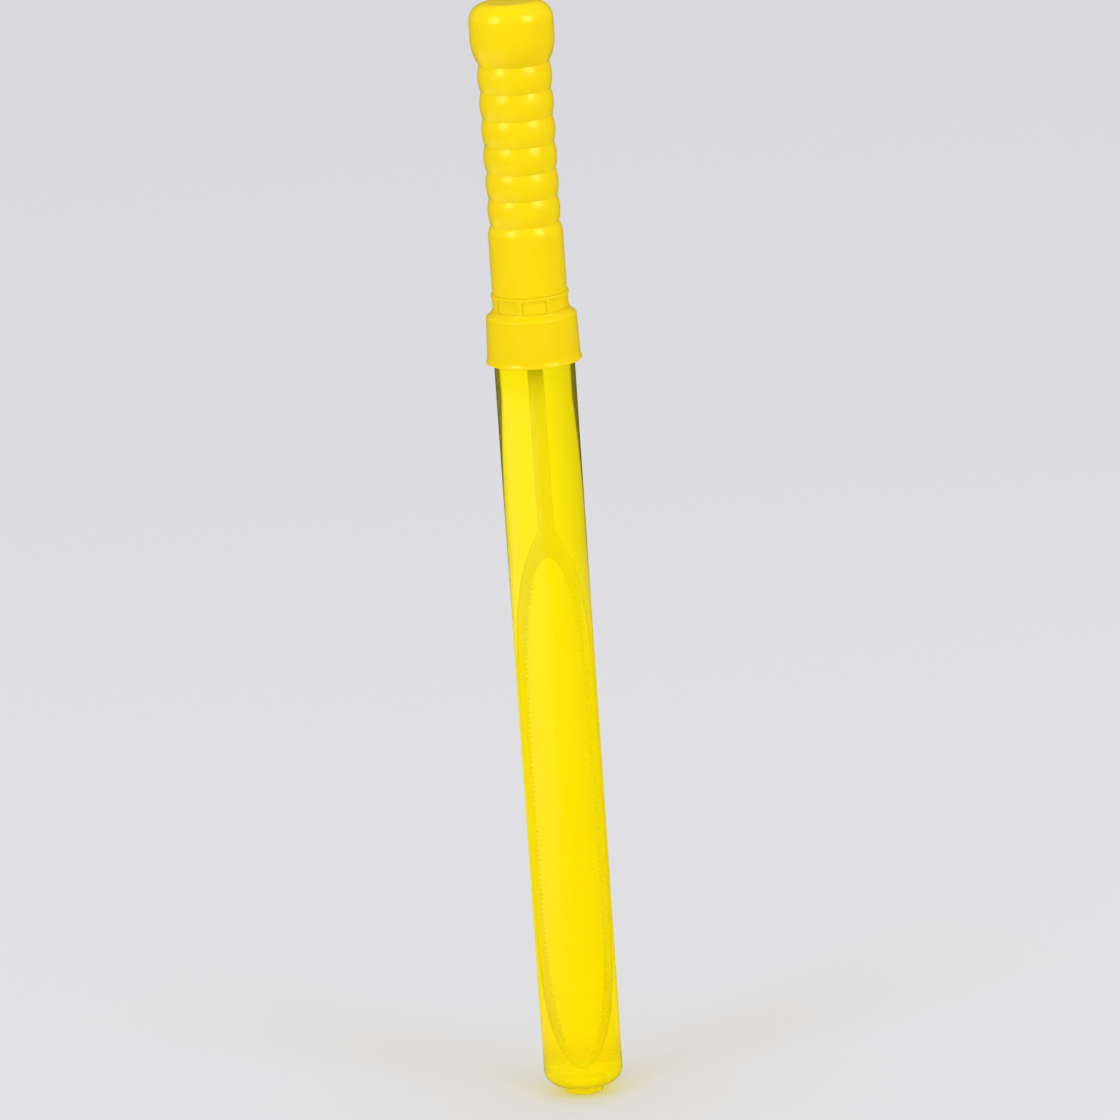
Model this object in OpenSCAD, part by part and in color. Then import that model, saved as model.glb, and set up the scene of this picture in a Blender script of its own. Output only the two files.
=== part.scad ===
// Bubble wand: a tube of bubble solution, closed by a screw cap that carries a grip above
// and a toothed wand loop below. It stands on its foot. Z is up, and Z = 0 is the ground.

/* [Tube] */
// Outside diameter of the tube
tube_d = 26.4; // [22:0.2:36]
// Thickness of the tube's wall
tube_wall = 1.2; // [0.8:0.1:1.6]
// Height of the tube from its flat bottom to the shoulder
tube_h = 248.2; // [220:1:320]
// Rounding where the wall turns into the bottom
bottom_round = 4.4; // [2.5:0.1:7]
// Diameter of the foot under the bottom
foot_d = 13; // [8:0.5:16]
// Height of the foot
foot_h = 3.2; // [1:0.1:6]

/* [Neck] */
// How far the neck steps in from the tube's side
neck_step = 0.9; // [0.4:0.1:1.4]
// Height of the rounded shoulder
shoulder_h = 2; // [1:0.1:4]
// Height of the neck above the shoulder
neck_h = 11.3; // [9:0.1:16]

/* [Screw cap] */
// Space round the neck for the thread ridges
thread_space = 1.25; // [0.8:0.05:1.6]
// Thickness of the skirt's wall at its top
skirt_wall = 1.25; // [1:0.05:2]
// How much wider the skirt's radius is at its foot than at its top
skirt_draft = 0.4; // [0:0.05:0.8]
// How far the lip flares out past the skirt
lip_flare = 0.5; // [0:0.05:1]
// Height of the flared lip
lip_h = 2.2; // [1:0.1:4]
// Height of the skirt's foot above the top of the tube's straight side
lip_gap = 0.5; // [0.2:0.1:1]
// Thickness of the cap's inner plate
plate_t = 1.6; // [1:0.1:2.5]
// Height of the sloping shoulder between skirt and crown
cap_slope_h = 1.5; // [0.8:0.1:3]

/* [Crown ring] */
// How far the crown ring stands out past the grip's barrel
crown_ledge = 0.5; // [0.3:0.05:1]
// Height of the crown ring above the sloping shoulder
crown_h = 6; // [5:0.1:10]
// Bevel round the crown ring's top
crown_bevel = 0.5; // [0.2:0.05:0.8]
// Number of windows in the crown ring
window_count = 8; // [4:1:12]
// Height of a window
window_h = 4.2; // [2.5:0.1:4.5]
// Height of the crown's solid band under the windows
window_sill = 0.7; // [0.4:0.1:1.2]
// Width of the bars between the windows
bar_w = 2.1; // [1.2:0.1:3]
// Turn of the windows about the axis, in degrees
window_turn = -16.5; // [-22:0.5:22]

/* [Grip] */
// Diameter of the plain barrel
barrel_d = 24.4; // [22:0.2:28]
// Height of the plain barrel above the crown
barrel_h = 22.7; // [12:0.1:40]
// Radius of the curve that draws the barrel's top in to the first groove
barrel_round = 6.3; // [3:0.1:12]
// Number of ribs
rib_count = 6; // [3:1:9]
// Distance from rib to rib
rib_pitch = 8.77; // [6:0.01:12]
// How far the highest rib's top lies inside the barrel's side
rib_step = 0.13; // [0:0.01:0.6]
// How far a rib stands out past its grooves
rib_rise = 0.7; // [0.4:0.05:1.5]
// How much smaller the lowest rib's radius is than the highest one's
grip_taper = 0.28; // [0:0.02:0.8]
// How far the pommel stands out past the barrel's side
pommel_step = 1.5; // [0.5:0.1:4]
// Height of the pommel
pommel_h = 20.1; // [15:0.1:30]
// Rounding at the pommel's top
pommel_top_round = 6; // [3:0.1:8]
// Radius of the curve that draws the pommel's foot in to the last groove
pommel_low_round = 15.5; // [8:0.5:20]
// Thickness of the grip's wall behind its deepest groove
groove_wall = 0.94; // [0.7:0.02:1.5]
// Thickness of the pommel's wall
pommel_wall = 1.5; // [1:0.1:2.5]
// How far the spigot steps in from the barrel's side
spigot_step = 0.55; // [0.4:0.05:0.8]
// How far the snap pads stand out from the spigot
snap_rise = 0.45; // [0.2:0.05:0.6]

/* [Wand] */
// Clearance between the loop's sides and the neck's bore, which it is drawn through
neck_clear = 1; // [0.5:0.1:3]
// Half length of the loop, to the middle of its rail
loop_half_l = 88.9; // [60:0.1:95]
// How straight the loop's sides stay before they close: 2 is an ellipse
loop_straight = 4.2; // [2:0.1:8]
// How the loop's ends close: 0.5 is a round arch, 1 is a point
loop_close = 0.556; // [0.5:0.002:0.9]
// Width of the rail, seen from the front
rail_w = 2.2; // [1.4:0.1:3]
// Thickness of the wand, front to back
wand_t = 2.4; // [1.6:0.1:3.4]
// Distance from tooth to tooth on the inner edge
tooth_pitch = 1.7; // [1.2:0.1:4]
// Height of a tooth
tooth_h = 0.55; // [0.3:0.05:0.9]
// Width of the stem
stem_w = 3.7; // [2.5:0.1:6]
// Height over which the webs spread from the stem to the loop, above the middle of its top rail
web_h = 12.6; // [6:0.1:20]
// How straight the loop's sides stay on their way up to the webs
web_straight = 4.9; // [2:0.1:8]
// How softly the webs run into the stem: 1 is a corner
web_close = 1.4; // [1:0.05:2.5]
// Height of the loop's lowest point above the tube's floor
loop_clear = 4; // [2:0.1:8]
// Diameter of the peg at the stem's root
peg_d = 4.2; // [3.6:0.1:6]
// Length of the peg
peg_l = 7; // [4:0.1:9]

/* [Wand socket] */
// Thickness of the socket's wall
socket_wall = 1.5; // [1:0.1:2.5]
// How much deeper the socket is than the peg is long
socket_spare = 0.5; // [0.3:0.1:2]

/* [Gasket] */
// Thickness of the gasket
gasket_t = 1.2; // [0.8:0.1:2]
// How far the gasket reaches inside the neck's bore
gasket_inset = 0.2; // [0:0.1:1]

/* [Hidden] */
$fn = 96;
// Clearance between flat faces that seat, between turned pieces pushed together, and beside loose ones
seat_gap = 0.05;
push_gap = 0.04;
side_gap = 0.25;
// Overrun of every cut
over = 1;
// Steps along half of the loop's outline
loop_steps = 64;

// Heights along the axis
bottom_z = foot_h;
floor_z = bottom_z + tube_wall;
shoulder_z = bottom_z + tube_h;
neck_z = shoulder_z + shoulder_h;
rim_z = neck_z + neck_h;
gasket_z = rim_z + seat_gap;
ceiling_z = gasket_z + gasket_t + seat_gap;
plate_z = ceiling_z + plate_t;
lip_z = shoulder_z + lip_gap;
skirt_z = lip_z + lip_h;
slope_z = ceiling_z + plate_t - seat_gap - cap_slope_h / 4;
crown_z = slope_z + cap_slope_h;
crown_top_z = crown_z + crown_h;
window_z = crown_z + window_sill;
barrel_z = crown_top_z + seat_gap;
ribs_z = barrel_z + barrel_h;
pommel_z = ribs_z + rib_count * rib_pitch;
top_z = pommel_z + pommel_h;

// Radii
tube_r = tube_d / 2;
bore_r = tube_r - tube_wall;
foot_r = foot_d / 2;
neck_r = tube_r - neck_step;
neck_bore_r = neck_r - tube_wall;
cap_bore_r = neck_r + thread_space;
skirt_r = cap_bore_r + skirt_wall;
skirt_low_r = skirt_r + skirt_draft;
lip_r = skirt_low_r + lip_flare;
barrel_r = barrel_d / 2;
crown_r = barrel_r + crown_ledge;
spigot_r = barrel_r - spigot_step;
crown_bore_r = spigot_r + push_gap;
rib_r = barrel_r - rib_step;
pommel_r = barrel_r + pommel_step;
rib_arc_r = (pow(rib_pitch / 2, 2) + pow(rib_rise, 2)) / (2 * rib_rise);
top_groove_r = rib_r - rib_rise;
low_groove_r = top_groove_r - grip_taper;
hollow_r = low_groove_r - groove_wall;
barrel_full_z = ribs_z - arc_run(barrel_round, barrel_r - low_groove_r);
pommel_low_run = arc_run(pommel_low_round, pommel_r - top_groove_r);
pommel_full_z = pommel_z + pommel_low_run;
socket_bore_r = peg_d / 2 + push_gap;
socket_r = socket_bore_r + socket_wall;

// Wand: heights, the loop's outer and inner edges, and the webs' top above the loop's middle
loop_z = floor_z + loop_clear + rail_w / 2 + loop_half_l;
outer_half_w = neck_bore_r - neck_clear;
loop_half_w = outer_half_w - rail_w / 2;
inner_half_l = loop_half_l - rail_w / 2;
web_top = loop_half_l + web_h;
peg_top_z = ceiling_z - socket_spare;
peg_z = peg_top_z - peg_l;

// Ring of square section between two radii and two heights
module ring(outer_r, inner_r, z0, z1) {
    rotate_extrude()
        translate([inner_r, z0])
            square([outer_r - inner_r, z1 - z0]);
}

// Half section of a solid turned body: a plain cylinder
module half_block(r, z0, z1) {
    translate([0, z0])
        square([r, z1 - z0]);
}

// Half section of a block with its lower corner rounded
module half_cup(r, z0, z1, round_r) {
    half_block(r - round_r, z0, z1);
    half_block(r, z0 + round_r, z1);
    translate([r - round_r, z0 + round_r])
        circle(round_r);
}

// Blown tube with its foot, shoulder and neck
module tube_section() {
    difference() {
        union() {
            half_block(foot_r, 0, bottom_z + tube_wall);
            half_cup(tube_r, bottom_z, shoulder_z, bottom_round);
            polygon([
                [0, shoulder_z],
                [tube_r, shoulder_z],
                [neck_r, neck_z],
                [0, neck_z]
            ]);
            half_block(neck_r, neck_z, rim_z);
        }
        half_cup(bore_r, floor_z, shoulder_z, bottom_round - tube_wall);
        polygon([
            [0, shoulder_z],
            [bore_r, shoulder_z],
            [neck_bore_r, neck_z],
            [0, neck_z]
        ]);
        half_block(neck_bore_r, neck_z, rim_z + over);
    }
}

module tube() {
    color([1, 0.86, 0.05, 0.5])
        rotate_extrude()
            intersection() {
                tube_section();
                half_block(tube_d, 0, top_z);
            }
}

// Solid outline of the screw cap, without its bores
module cap_section() {
    polygon([
        [0, skirt_z],
        [skirt_low_r, skirt_z],
        [skirt_r, slope_z],
        [crown_r, crown_z],
        [crown_r, crown_top_z - crown_bevel],
        [crown_r - crown_bevel, crown_top_z],
        [0, crown_top_z]
    ]);
    polygon([
        [0, lip_z],
        [lip_r, lip_z],
        [lip_r, lip_z + lip_h / 4],
        [skirt_low_r, skirt_z],
        [0, skirt_z]
    ]);
}

// Bars that stay between the windows of the crown, widened by a side clearance
module crown_bars(wider) {
    bar_space_w = bar_w + 2 * wider;
    for (i = [0 : window_count - 1])
        rotate(window_turn + i * 360 / window_count)
            translate([0, -bar_space_w / 2, window_z - over])
                cube([crown_r + over, bar_space_w, window_h + 2 * over]);
}

module crown_windows() {
    difference() {
        ring(crown_r + over, crown_bore_r - over, window_z, window_z + window_h);
        crown_bars(0);
    }
}

module screw_cap() {
    color([0.99, 0.86, 0.02]) {
        difference() {
            rotate_extrude()
                difference() {
                    cap_section();
                    half_block(cap_bore_r, lip_z - over, ceiling_z);
                    half_block(crown_bore_r, plate_z, crown_top_z + over);
                }
            crown_windows();
        }
        ring(socket_r, socket_bore_r, peg_z, ceiling_z);
    }
}

// One rib of the grip: a shallow arc between two grooves
module rib_section(i) {
    this_r = rib_r - grip_taper * (rib_count - 1 - i) / (rib_count - 1);
    low_z = ribs_z + i * rib_pitch;
    intersection() {
        translate([this_r - rib_arc_r, low_z + rib_pitch / 2])
            circle(rib_arc_r, $fn = 4 * $fn);
        half_block(this_r, low_z, low_z + rib_pitch);
    }
}

// Distance along the axis in which an arc of arc_r draws in by a given step
function arc_run(arc_r, step) = sqrt(2 * arc_r * step - step * step);

// Half section that draws in from r to end_r by an arc: towards +Z with way 1, towards -Z with way -1
module half_drawn_in(r, end_r, full_z, arc_r, way) {
    run = arc_run(arc_r, r - end_r);
    intersection() {
        translate([r - arc_r, full_z])
            circle(arc_r, $fn = 4 * $fn);
        half_block(r, way > 0 ? full_z : full_z - run, way > 0 ? full_z + run : full_z);
    }
}

// Half section of a drum with a rounded top
module half_dome(r, z0, z1, round_r) {
    half_block(r, z0, z1 - round_r);
    half_block(r - round_r, z0, z1);
    translate([r - round_r, z1 - round_r])
        circle(round_r);
}

module grip_outline() {
    half_block(spigot_r, plate_z + seat_gap, barrel_z);
    half_block(low_groove_r, barrel_z, pommel_full_z);
    half_block(barrel_r, barrel_z, barrel_full_z);
    half_drawn_in(barrel_r, low_groove_r, barrel_full_z, barrel_round, 1);
    for (i = [0 : rib_count - 1])
        rib_section(i);
    half_drawn_in(pommel_r, top_groove_r, pommel_full_z, pommel_low_round, -1);
    half_dome(pommel_r, pommel_full_z, top_z, pommel_top_round);
}

module grip_hollow() {
    half_block(hollow_r, plate_z - over, pommel_full_z);
    half_dome(
        pommel_r - pommel_wall,
        pommel_full_z - pommel_low_run / 4,
        top_z - pommel_wall,
        pommel_top_round - pommel_wall
    );
}

// Pads on the spigot that snap into the crown's windows
module snap_pads() {
    difference() {
        ring(spigot_r + snap_rise, (spigot_r + hollow_r) / 2, window_z + side_gap, window_z + window_h - side_gap);
        crown_bars(side_gap);
    }
}

module handle() {
    color([0.99, 0.87, 0.03]) {
        rotate_extrude()
            intersection() {
                difference() {
                    grip_outline();
                    grip_hollow();
                }
                half_block(2 * pommel_r, 0, top_z + over);
            }
        snap_pads();
    }
}

// Share of the full width that is left at a share of the length
function closing(t, straight, close) = pow(max(0, 1 - pow(abs(t), straight)), close);

// Half width of the oval, grown or shrunk by set_off, at a share of its half length
function oval_x(t, set_off) = (loop_half_w + set_off) * closing(t, loop_straight, loop_close);

// Right half of that oval between two shares, with its points closest where it closes
function oval_half(set_off, t0, t1) = [
    for (i = [0 : loop_steps])
        let (t = sin(t0 * 90 + (t1 - t0) * 90 * i / loop_steps))
            [oval_x(t, set_off), t * (loop_half_l + set_off)]
];

// Right side of the upper half: the rail's outer edge, which runs up through the web into the stem
function web_x(t) = stem_w / 2 + (outer_half_w - stem_w / 2) * closing(t, web_straight, web_close);
function web_half() = [
    for (i = [1 : loop_steps])
        [web_x(i / loop_steps), web_top * i / loop_steps]
];

// The whole outline, from its right half and the mirror image of its points off the middle
function both_halves(half) = concat(half, [
    for (i = [len(half) - 1 : -1 : 0])
        if (half[i][0] > 0)
            [-half[i][0], half[i][1]]
]);

// Teeth along the inner edge, evenly spaced in height, out of the loop's ends
tooth_zone_share = 0.91;
tooth_count = floor(2 * tooth_zone_share * inner_half_l / tooth_pitch);

module teeth() {
    for (i = [0 : tooth_count - 1], side = [-1, 1]) {
        z = -tooth_zone_share * inner_half_l + (i + 0.5) * tooth_pitch;
        edge_x = oval_x(z / inner_half_l, -rail_w / 2);
        polygon([
            [side * (edge_x + rail_w / 4), z - tooth_pitch / 3],
            [side * (edge_x + rail_w / 4), z + tooth_pitch / 3],
            [side * (edge_x - tooth_h), z + tooth_pitch / 8],
            [side * (edge_x - tooth_h), z - tooth_pitch / 8]
        ]);
    }
}

module loop_outline() {
    difference() {
        polygon(both_halves(concat(oval_half(rail_w / 2, -1, 0), web_half())));
        difference() {
            polygon(both_halves(oval_half(-rail_w / 2, -1, 1)));
            teeth();
        }
    }
}

module bubble_wand() {
    color([0.95, 0.85, 0.02]) {
        translate([0, wand_t / 2, loop_z])
            rotate([90, 0, 0])
                linear_extrude(wand_t) {
                    loop_outline();
                    translate([-stem_w / 2, web_top - rail_w / 2])
                        square([stem_w, peg_z - loop_z - web_top]);
                }
        translate([0, 0, peg_z - rail_w])
            cylinder(d = peg_d, h = peg_l + rail_w);
    }
}

module seal_gasket() {
    color("white")
        ring(cap_bore_r - side_gap, neck_bore_r - gasket_inset, gasket_z, gasket_z + gasket_t);
}

tube();
screw_cap();
handle();
bubble_wand();
seal_gasket();
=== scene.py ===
# %% [markdown]
# # A bubble wand in its tube of solution
#
# The toy has a see-through yellow tube, blown in one piece with its foot. A screw cap closes it,
# with a ribbed grip above and a long toothed wand loop below. This lesson dresses the CAD frame
# of the toy: each piece is modelled again with soft edges and its small forms, gets the finish of
# its real material, and rides on the CAD body that carries it.

from math import acos, asin, atan2, cos, degrees, pi, radians, sin

import bmesh
import bpy
from mathutils import Matrix, Vector


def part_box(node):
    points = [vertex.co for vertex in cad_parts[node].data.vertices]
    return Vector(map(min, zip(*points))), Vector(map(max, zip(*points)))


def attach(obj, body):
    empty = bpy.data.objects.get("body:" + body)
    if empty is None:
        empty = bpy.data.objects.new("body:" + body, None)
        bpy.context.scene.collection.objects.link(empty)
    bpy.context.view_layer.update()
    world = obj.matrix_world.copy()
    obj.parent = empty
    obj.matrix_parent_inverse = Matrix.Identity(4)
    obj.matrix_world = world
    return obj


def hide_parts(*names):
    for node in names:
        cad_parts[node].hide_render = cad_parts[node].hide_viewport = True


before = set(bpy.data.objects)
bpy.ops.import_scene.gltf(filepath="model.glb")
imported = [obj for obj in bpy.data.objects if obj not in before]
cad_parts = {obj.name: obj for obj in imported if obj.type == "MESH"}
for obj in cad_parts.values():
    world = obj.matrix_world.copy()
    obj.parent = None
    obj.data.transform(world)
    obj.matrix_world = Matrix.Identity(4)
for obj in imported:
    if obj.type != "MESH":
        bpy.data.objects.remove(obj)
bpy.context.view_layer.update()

# %% [markdown]
# ## Measures
#
# Blender works in metres and the toy is drawn in millimetres, so one factor turns one into the
# other. The pieces must seat where the CAD solids do, so the widest radius and the two ends of
# each solid are read from the frame. The rest is worked out from those with the toy's own small
# sizes. Radii are from the Z axis, and heights from the ground.

# %% Reach of the CAD solids
mm = 0.001


def reach(node):
    """Widest radius, lowest and highest point of a CAD node, in millimetres."""
    low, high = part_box(node)
    return [round(c / mm, 3) for c in (high[0], low[2], high[2])]


TUBE_R, GROUND, RIM_Z = reach("tube")
LIP_R, LIP_Z, CROWN_TOP = reach("screw_cap")
POMMEL_R, SPIGOT_Z, GRIP_TOP = reach("handle")
OUTER_HALF_W, LOOP_LOW, PEG_TOP = reach("bubble_wand")
GASKET_R, GASKET_LOW, GASKET_TOP = reach("seal_gasket")
print("tube and cap stand", GRIP_TOP, "mm tall")

# %% Sizes that several pieces share, in millimetres
SEAT_GAP, PUSH_GAP = 0.05, 0.04
WALL, BOTTOM_ROUND, FOOT_R, FOOT_TOP, FOOT_FLOOR = 1.2, 4.4, 6.5, 3.2, 2.1
NECK_H, SHOULDER_H, NECK_STEP, THREAD_SPACE = 11.3, 2.0, 0.9, 1.25
CROWN_H, WINDOW_SILL, WINDOW_H = 6.0, 0.7, 4.2
POMMEL_STEP, SPIGOT_STEP, PEG_R = 1.5, 0.55, 2.1

BORE_R, TUBE_FLOOR = TUBE_R - WALL, FOOT_TOP + WALL
NECK_Z = RIM_Z - NECK_H
SHOULDER_Z = NECK_Z - SHOULDER_H
NECK_R = TUBE_R - NECK_STEP
NECK_BORE_R, CAP_BORE_R = NECK_R - WALL, NECK_R + THREAD_SPACE
CROWN_Z = CROWN_TOP - CROWN_H
WINDOW_Z = CROWN_Z + WINDOW_SILL
WINDOW_TOP = WINDOW_Z + WINDOW_H
BARREL_R = POMMEL_R - POMMEL_STEP
SPIGOT_R = BARREL_R - SPIGOT_STEP
print("bore of the neck", round(2 * NECK_BORE_R, 2), "mm, barrel", round(2 * BARREL_R, 2), "mm")

# %% [markdown]
# ## Helpers for turned pieces
#
# Nearly every piece is round, so it starts as half a section: a chain of edges beside the axis. A
# straight stroke extrudes the last vertex, and an arc spins it about the arc's own centre. A
# corner can be softened by a vertex bevel, because no moulded edge is truly sharp. Spinning the
# whole section about the axis then makes the body, as a lathe would.

# %% Half sections
SECTION_MERGE, BODY_MERGE, CORNER_STEPS = 1e-7, 1e-6, 4


def point(r, z):
    """A place in the section's plane, from millimetres."""
    return Vector((r * mm, 0, z * mm))


def half_section(start, *strokes):
    """Line strokes are (r, z) or (r, z, softness), arcs (centre r, centre z, degrees, steps)."""
    section = bmesh.new()
    tip = bmesh.ops.create_vert(section, co=point(*start[:2]))["vert"][0]
    corners = [(point(*s[:2]), s[2] * mm) for s in (start, *strokes) if len(s) == 3]
    for stroke in strokes:
        if len(stroke) < 4:
            tip = bmesh.ops.extrude_vert_indiv(section, verts=[tip])["verts"][0]
            tip.co = point(*stroke[:2])
        else:
            r, z, turned, steps = stroke
            tip = bmesh.ops.spin(
                section, geom=[tip], cent=point(r, z), axis=(0, -1, 0), angle=radians(turned),
                steps=steps, use_merge=False, use_duplicate=False,
            )["geom_last"][0]
    bmesh.ops.remove_doubles(section, verts=section.verts, dist=SECTION_MERGE)
    for place, softness in corners:
        corner = min(section.verts, key=lambda v: (v.co - place).length)
        bmesh.ops.bevel(
            section, geom=[corner], offset=softness, offset_type="OFFSET", segments=CORNER_STEPS,
            profile=0.5, affect="VERTICES", clamp_overlap=True, material=-1,
        )
    return section


def turn(section, steps):
    """Spin a half section about Z into a closed body."""
    bmesh.ops.spin(
        section, geom=section.verts[:] + section.edges[:], cent=(0, 0, 0), axis=(0, 0, 1),
        angle=2 * pi, steps=steps, use_merge=True, use_duplicate=False,
    )
    bmesh.ops.remove_doubles(section, verts=section.verts, dist=BODY_MERGE)
    bmesh.ops.recalc_face_normals(section, faces=section.faces)
    return section


# %% [markdown]
# A finished piece is a mesh with smooth shading that breaks only at real edges. Its object stays
# at the origin, so that patterns on Object coordinates keep their place. It rides on a CAD body,
# and the CAD solid that it stands for is hidden.

# %% Finish a piece
def finish_piece(shape, name, material, body, stands_for=None, crease=35):
    """Make a piece of a bmesh: crease is the angle in degrees past which an edge stays sharp."""
    open_edges = sum(not e.is_manifold for e in shape.edges)
    mesh = bpy.data.meshes.new(name)
    shape.to_mesh(mesh)
    shape.free()
    mesh.materials.append(material)
    mesh.shade_smooth()
    mesh.set_sharp_from_angle(angle=radians(crease))
    piece = bpy.data.objects.new(name, mesh)
    bpy.context.scene.collection.objects.link(piece)
    flat = piece.modifiers.new("flat faces stay flat", "WEIGHTED_NORMAL")
    flat.keep_sharp = True
    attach(piece, body)
    if stands_for:
        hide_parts(stands_for)
    print(f"{name}: {len(mesh.polygons)} faces, {open_edges} open edges")


# %% [markdown]
# ## Helpers for materials
#
# Colours are written as sRGB hex codes, as they'd be read off a photograph, and one function
# turns them to the linear values that the shaders work in. Another adds a node with its settings,
# its links and, on a colour ramp, its stops. Pattern scales come from a real size: a noise of
# scale 1 has features about a metre wide here, so a feature of s millimetres needs 1000 / s.

# %% Colour and node helpers
def hex_colour(code):
    """Linear colour of an sRGB hex code."""
    parts = [int(code[i:i + 2], 16) / 255 for i in (1, 3, 5)]
    linear = [c / 12.92 if c <= 0.04045 else ((c + 0.055) / 1.055) ** 2.4 for c in parts]
    return (*linear, 1)


def add_node(tree, kind, inputs=None, stops=(), **settings):
    """Add a node: an input that is a socket is linked, and any other is set."""
    node = tree.nodes.new("ShaderNode" + kind)
    for name, value in settings.items():
        setattr(node, name, value)
    for index, (at, colour) in enumerate(stops):
        ramp = node.color_ramp.elements
        stop = ramp[index] if index < 2 else ramp.new(at)
        stop.position, stop.color = at, colour
    for name, value in (inputs or {}).items():
        if isinstance(value, bpy.types.NodeSocket):
            tree.links.new(value, node.inputs[name])
        else:
            node.inputs[name].default_value = value
    return node


def new_material(name):
    """An empty material and its node tree."""
    material = bpy.data.materials.new(name)
    material.use_nodes = True
    material.node_tree.nodes.clear()
    return material, material.node_tree


def per_mm(size):
    """Pattern scale that gives features of a size in millimetres."""
    return 1 / (size * mm)


# %% [markdown]
# ## Moulded polypropylene
#
# The cap and the wand are injection-moulded and the grip is blow-moulded, all of polypropylene
# that is coloured through. It comes out of a polished mould glossy but never mirror-flat: the
# skin waves a little where the plastic shrank, over about a centimetre, and fine flow marks make
# the gloss uneven. A little light also goes into the plastic and comes back warmer, which keeps
# its shadows from turning grey. The wand is paler and thinner, so it lets in more light.

# %% Polypropylene material
SHRINK_WIDTH, FLOW_WIDTH, FLOW_DEPTH = 14, 2.2, 0.004
SMOOTHER, ROUGHER = 0.03, 0.04


def moulded_polypropylene(name, colour, deep_colour, roughness, wave, lets_in=0.15, depth=2.0):
    """Wave and depth are in millimetres; lets_in is the share of light that enters."""
    material, tree = new_material(name)
    place = add_node(tree, "TexCoord").outputs["Object"]
    shrinkage = add_node(tree, "TexNoise", {
        "Vector": place, "Scale": per_mm(SHRINK_WIDTH), "Detail": 2.0, "Roughness": 0.45,
    })
    flow = add_node(tree, "TexNoise", {
        "Vector": place, "Scale": per_mm(FLOW_WIDTH), "Detail": 3.0, "Roughness": 0.6,
    })
    tint = add_node(tree, "Mix", {
        "Factor": shrinkage.outputs["Fac"],
        "A": hex_colour(colour), "B": hex_colour(deep_colour),
    }, data_type="RGBA")
    gloss = add_node(tree, "MapRange", {
        "Value": flow.outputs["Fac"], "From Min": 0.3, "From Max": 0.7,
        "To Min": roughness - SMOOTHER, "To Max": roughness + ROUGHER,
    })
    waviness = add_node(tree, "Bump", {
        "Height": shrinkage.outputs["Fac"], "Strength": 1.0, "Distance": wave * mm,
    })
    skin = add_node(tree, "Bump", {
        "Height": flow.outputs["Fac"], "Strength": 1.0, "Distance": FLOW_DEPTH * mm,
        "Normal": waviness.outputs["Normal"],
    })
    shader = add_node(tree, "BsdfPrincipled", {
        "Base Color": tint.outputs["Result"], "Roughness": gloss.outputs["Result"],
        "IOR": 1.49, "Normal": skin.outputs["Normal"],
        "Specular IOR Level": 1.0, "Specular Tint": hex_colour("#FFEC90"),
        "Subsurface Weight": lets_in, "Subsurface Radius": (1.0, 0.6, 0.1),
        "Subsurface Scale": depth * mm,
    })
    add_node(tree, "OutputMaterial", {"Surface": shader.outputs["BSDF"]})
    return material


cap_plastic = moulded_polypropylene(
    "glossy yellow polypropylene cap", "#FCDC00", "#F6D200", 0.22, 0.05)
grip_plastic = moulded_polypropylene(
    "glossy yellow polypropylene grip", "#FDDE00", "#F8D500", 0.22, 0.06)
wand_plastic = moulded_polypropylene(
    "yellow polypropylene wand", "#EEEB42", "#EAE63C", 0.4, 0.03, lets_in=0.5, depth=5.0)
print("polypropylene finishes:", cap_plastic.name, "|", grip_plastic.name, "|", wand_plastic.name)

# %% [markdown]
# ## Clear materials
#
# Real caustics would take very long to render. So the rays that only carry light, to the wand,
# the floor and every other matt thing, take a short cut through a clear material: a plain tinted
# passage. All other rays reflect and refract.

# %% Passage for light
def finish_clear(tree, body, passage, volume=None):
    """Output of a clear material: its body, with a tinted passage for shadow and diffuse rays."""
    short_cut = add_node(tree, "BsdfTransparent", {"Color": hex_colour(passage)})
    rays = add_node(tree, "LightPath").outputs
    lighting = add_node(tree, "Math", {0: rays["Is Shadow Ray"], 1: rays["Is Diffuse Ray"]},
                        operation="MAXIMUM")
    choice = add_node(tree, "MixShader", {
        "Fac": lighting.outputs["Value"], 1: body.outputs["BSDF"], 2: short_cut.outputs["BSDF"],
    })
    end = add_node(tree, "OutputMaterial", {"Surface": choice.outputs["Shader"]})
    if volume:
        tree.links.new(volume.outputs["Volume"], end.inputs["Volume"])


# %% [markdown]
# ## Tinted clear plastic
#
# The tube is blow-moulded from clear plastic with yellow dye in it. Dye works in the depth of the
# wall, so most of the colour comes from absorption in the volume: a ray that crosses two walls
# loses its blue, and a ray that runs along the wall goes deeper yellow. The tint is a little
# deeper low down, and the thick bottom is slightly hazy. Near the neck the sides are painted dark
# olive where the wall is seen edge on: painted shade, for the dark room that a clear tube's edges
# show. Layer Weight finds them from any side. The die leaves faint streaks along the tube.

# %% Tube plastic
TINTS = ((5, "#FFF200"), (25, "#FFF200"), (90, "#FFF300"), (210, "#FFF63C"))
DYE, DYE_DENSITY = (0.998, 0.993, 0.3, 1), 1500
CLEARNESS, HAZE_SHARE, HAZE_END, HAZE_FULL = 0.96, 0.4, 18, 5
# Heights and edge band of the painted shade on the tube's sides.
SIDES_BELOW, SIDES_FULL, SIDES_FADE, SIDES_FROM, SIDES_TO = 175, 240, 0.6, 0.45, 0.57
STREAK_WIDTH, STREAK_STRETCH, STREAK_DEPTH = 6, 0.06, 0.012


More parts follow.
